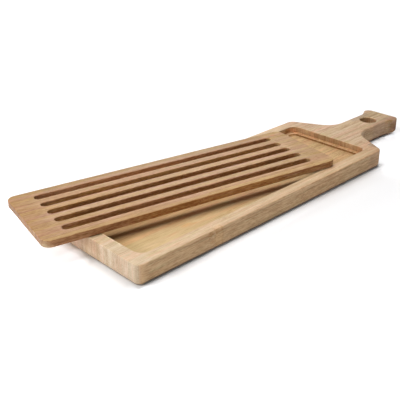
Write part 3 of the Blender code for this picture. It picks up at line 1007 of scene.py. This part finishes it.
def make_floor():
    """White sweep. Away from the object it glows a little, so that it stays white."""
    mesh = bmesh.new()
    bmesh.ops.create_grid(mesh, x_segments=2, y_segments=2, size=20.0)
    data = bpy.data.meshes.new("floor")
    mesh.to_mesh(data)
    mesh.free()
    floor = bpy.data.objects.new("floor", data)
    floor.location.z = -0.05 * MM
    bpy.context.scene.collection.objects.link(floor)
    material = bpy.data.materials.new("floor_white")
    material.use_nodes = True
    n = Nodes(material.node_tree)
    shader = material.node_tree.nodes["Principled BSDF"]
    shader.inputs["Roughness"].default_value = 0.9
    shader.inputs["Specular IOR Level"].default_value = 0.1
    place = n.add("ShaderNodeTexCoord").outputs["Object"]
    # painted shade: a little greyer along the plain end, where the lights leave no shade of their own
    low, high, edge, shade = FLOOR_SHADE
    white = n.math("MULTIPLY_ADD", n.block(place, low, high, edge), shade - FLOOR, FLOOR)
    n.put(shader.inputs["Base Color"], n.combine(white, n.math("MULTIPLY", white, 0.995), white))
    away = n.vector("ABSOLUTE", n.vector("SUBTRACT", place, (0.02, 0.0, 0.0)))
    away = n.vector("SUBTRACT", away, (0.23, 0.09, 1.0))
    away = n.vector("MAXIMUM", away, (0.0, 0.0, 0.0))
    length = n.add("ShaderNodeVectorMath", operation="LENGTH")
    n.put(length.inputs[0], away)
    glow = n.span(length.outputs["Value"], 0.04, 0.60, 0.0, FLOOR_GLOW)
    lifts = 0.0
    for centre, radii, strength in FLOOR_LIFTS:
        lifts = n.math("MULTIPLY_ADD", n.spot(place, centre, radii), strength, lifts)
    for low, high, edge, strength in FLOOR_BLOCKS:
        lifts = n.math("MULTIPLY_ADD", n.block(place, low, high, edge), strength, lifts)
    # not under the board, so that the shade at its foot stays deep
    for low, high, edge in FLOOR_COVERED:
        lifts = n.math("MULTIPLY", lifts, n.math("SUBTRACT", 1.0, n.block(place, low, high, edge)))
    glow = n.math("ADD", glow, lifts)
    # and the sweep stays white out to the horizon
    glow = n.math("ADD", glow, n.span(length.outputs["Value"], 1.0, 2.6, 0.0, 0.45))
    shader.inputs["Emission Color"].default_value = (0.92, 0.99, 1.06, 1.0)
    n.put(shader.inputs["Emission Strength"], glow)
    data.materials.append(material)


def soft_box(name, place, way, width, height, watts):
    data = bpy.data.lights.new(name, "AREA")
    data.shape = "RECTANGLE"
    data.size, data.size_y = width, height
    data.energy = watts
    light = bpy.data.objects.new(name, data)
    light.location = place
    light.rotation_euler = Vector(way).to_track_quat("-Z", "Y").to_euler()
    bpy.context.scene.collection.objects.link(light)


# name: (place, way it faces, width, height, watts)
DOWN, EAST, SOUTH, NORTH = (0, 0, -1), (1, 0, 0), (0, -1, 0), (0, 1, 0)
SOFT_BOXES = {
    "overhead_bank": ((0.0, 0.15, 1.20), DOWN, 2.0, 0.7, 15.5),
    "overhead_left": ((-0.50, 0.10, 0.75), DOWN, 0.5, 0.6, 1.8),
    "overhead_far_left": ((-1.25, 0.75, 1.20), DOWN, 0.5, 0.5, 7.0),
    "overhead_far_right": ((1.25, 1.25, 1.20), DOWN, 0.5, 0.5, 12.8),
    "overhead_front": ((-0.60, -1.20, 1.30), DOWN, 0.6, 0.6, 2.7),
    "back_right_wall": ((1.20, 1.60, 0.38), SOUTH, 0.8, 0.76, 21.0),
    "back_strip": ((0.40, 1.60, 0.20), SOUTH, 0.8, 0.4, 4.6),
    "left_strip": ((-1.40, 0.75, 0.17), EAST, 0.5, 0.33, 13.5),
    "left_front_strip": ((-1.40, -0.75, 0.17), EAST, 0.5, 0.33, 6.8),
    "front_wall": ((-0.90, -1.70, 0.55), NORTH, 0.9, 0.9, 2.0),
}
FLOOR = 0.94
FLOOR_GLOW = 0.6
# centre, radii, strength: painted light, the floor glows there and keeps the shade as pale as on a bright sweep
FLOOR_LIFTS = (
    ((-0.045, -0.064, 0.0), (0.16, 0.022, 1.0), 0.20),
    ((0.25, -0.055, 0.0), (0.12, 0.050, 1.0), 0.17),
    ((0.195, -0.068, 0.0), (0.06, 0.045, 1.0), 0.14),
    ((-0.176, -0.068, 0.0), (0.014, 0.014, 1.0), 0.20),
    ((0.228, -0.024, 0.0), (0.040, 0.014, 1.0), 0.10),
    ((0.268, -0.020, 0.0), (0.022, 0.011, 1.0), 0.34),
    ((-0.158, -0.071, 0.0), (0.022, 0.007, 1.0), 0.16),
)
# what the board covers: lowest and highest corner, softness
FLOOR_COVERED = (
    ((-0.175, -0.0655, -1.0), (0.18, 0.0655, 1.0), 0.003),
    ((0.18, -0.0168, -1.0), (0.256, 0.0168, 1.0), 0.0015),
    ((0.256, -0.0185, -1.0), (0.277, 0.0185, 1.0), 0.0015),
)
FLOOR_SHADE = ((-0.174, -0.062, -1.0), (-0.10, 0.0, 1.0), 0.013, 0.68)
# lowest and highest corner, softness, strength: painted light, the floor glows under the grid's overhang and pales
# the shadow there
FLOOR_BLOCKS = (
    ((-0.33, 0.004, -1.0), (-0.186, 0.14, 1.0), 0.013, 0.56),
)


def make_lights():
    world = bpy.data.worlds.new("studio")
    bpy.context.scene.world = world
    world.use_nodes = True
    # white behind the sweep in low views, without lighting the object
    sky = world.node_tree.nodes["Background"]
    sky.inputs["Color"].default_value = (1.0, 1.0, 1.0, 1.0)
    seen = world.node_tree.nodes.new("ShaderNodeLightPath")
    world.node_tree.links.new(seen.outputs["Is Camera Ray"], sky.inputs["Strength"])
    for name, (place, way, width, height, watts) in SOFT_BOXES.items():
        soft_box(name, place, way, width, height, watts)


def main():
    scene = bpy.context.scene
    scene.view_settings.view_transform = "Standard"
    scene.view_settings.look = "None"

    board = make_board()
    board.data.materials.append(bamboo("board_bamboo_fine", BOARD_LOOK))
    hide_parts("tray_board")
    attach(board, "board")

    grid = make_grid()
    grid.data.materials.append(bamboo("grid_bamboo_fine", GRID_LOOK))
    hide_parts("crumb_grid")
    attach(grid, "grid")

    make_floor()
    make_lights()
    make_camera()


main()
bpy.context.view_layer.update()
